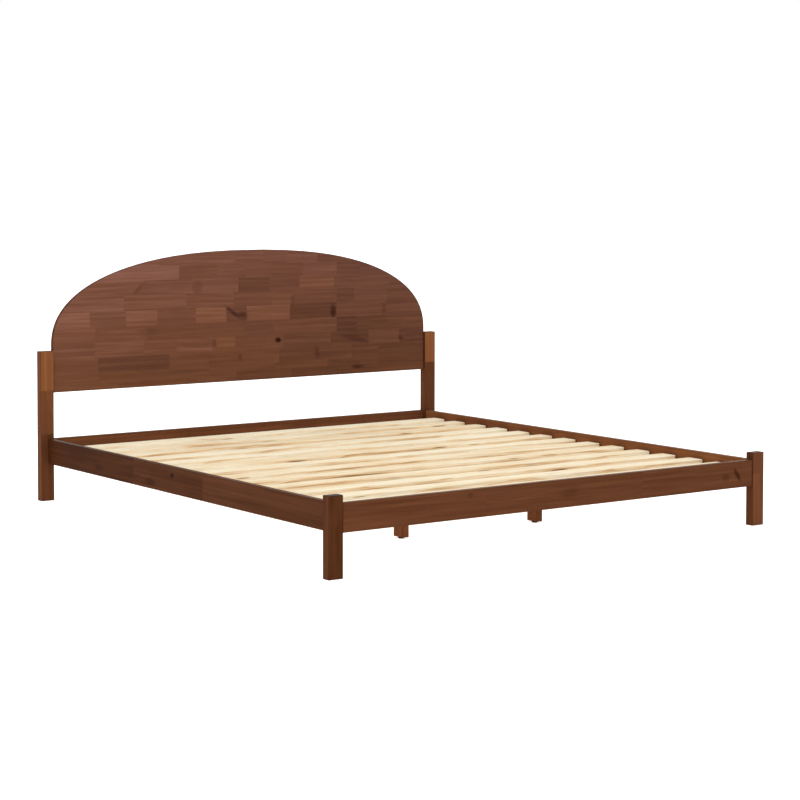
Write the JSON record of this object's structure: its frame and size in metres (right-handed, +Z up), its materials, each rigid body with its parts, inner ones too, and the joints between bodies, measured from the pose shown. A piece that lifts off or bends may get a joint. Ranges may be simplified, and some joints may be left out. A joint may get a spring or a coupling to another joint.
{
  "type": "platform bed",
  "caption": "Low solid-pine platform bed with an arched, stave-glued headboard between two posts, a slatted base on side rails, and centre legs on screw-in levelling feet.",
  "frame": {"origin": "on the floor, below the middle of the bed's length and width", "axes": "+Z up, +Y towards the headboard, +X to the sleeper's left when lying face up, which is to the right as seen from the foot"},
  "size_m": [1.904, 2.054, 0.962],
  "materials": {
    "walnut_stain": "walnut-stained pine, satin varnish",
    "headboard_stain": "walnut-stained finger-jointed pine staves, satin varnish",
    "bare_pine": "planed bare pine",
    "beech": "raw beech",
    "zinc_steel": "bright zinc-plated steel",
    "black_plastic": "moulded black polypropylene"
  },
  "bodies": {
    "bed_frame": {"headboard_panel": "headboard_stain", "head_post_left": "walnut_stain", "head_post_right": "walnut_stain", "head_rail": "walnut_stain", "foot_leg_left": "walnut_stain", "foot_leg_right": "walnut_stain", "foot_rail": "walnut_stain", "side_rail_left": "walnut_stain", "side_rail_right": "walnut_stain", "headboard_dowel_left_lower": "beech", "headboard_dowel_left_upper": "beech", "slat_cleat_left": "bare_pine", "support_beam_left": "bare_pine", "headboard_dowel_right_lower": "beech", "headboard_dowel_right_upper": "beech", "slat_cleat_right": "bare_pine", "support_beam_right": "bare_pine", "slat_01": "bare_pine", "slat_02": "bare_pine", "slat_03": "bare_pine", "slat_04": "bare_pine", "slat_05": "bare_pine", "slat_06": "bare_pine", "slat_07": "bare_pine", "slat_08": "bare_pine", "slat_09": "bare_pine", "slat_10": "bare_pine", "slat_11": "bare_pine", "slat_12": "bare_pine", "slat_13": "bare_pine", "centre_leg_front_left": "walnut_stain", "insert_nut_front_left": "zinc_steel", "leg_screw_front_left": "zinc_steel", "beam_bracket_front_left": "zinc_steel", "corner_bracket_front_left": "zinc_steel", "centre_leg_front_right": "walnut_stain", "insert_nut_front_right": "zinc_steel", "leg_screw_front_right": "zinc_steel", "beam_bracket_front_right": "zinc_steel", "corner_bracket_front_right": "zinc_steel", "centre_leg_rear_left": "walnut_stain", "insert_nut_rear_left": "zinc_steel", "leg_screw_rear_left": "zinc_steel", "beam_bracket_rear_left": "zinc_steel", "corner_bracket_rear_left": "zinc_steel", "centre_leg_rear_right": "walnut_stain", "insert_nut_rear_right": "zinc_steel", "leg_screw_rear_right": "zinc_steel", "beam_bracket_rear_right": "zinc_steel", "corner_bracket_rear_right": "zinc_steel"},
    "levelling_foot_front_left": {"levelling_foot_front_left": "black_plastic"},
    "levelling_foot_front_right": {"levelling_foot_front_right": "black_plastic"},
    "levelling_foot_rear_left": {"levelling_foot_rear_left": "black_plastic"},
    "levelling_foot_rear_right": {"levelling_foot_rear_right": "black_plastic"}
  },
  "joints": [
    {"name": "foot_screw_front_left", "type": "slide", "parent": "bed_frame", "child": "levelling_foot_front_left", "axis": [0, 0, -1], "range_m": [0, 0.01]},
    {"name": "foot_screw_front_right", "type": "slide", "parent": "bed_frame", "child": "levelling_foot_front_right", "axis": [0, 0, -1], "range_m": [0, 0.01]},
    {"name": "foot_screw_rear_left", "type": "slide", "parent": "bed_frame", "child": "levelling_foot_rear_left", "axis": [0, 0, -1], "range_m": [0, 0.01]},
    {"name": "foot_screw_rear_right", "type": "slide", "parent": "bed_frame", "child": "levelling_foot_rear_right", "axis": [0, 0, -1], "range_m": [0, 0.01]}
  ]
}
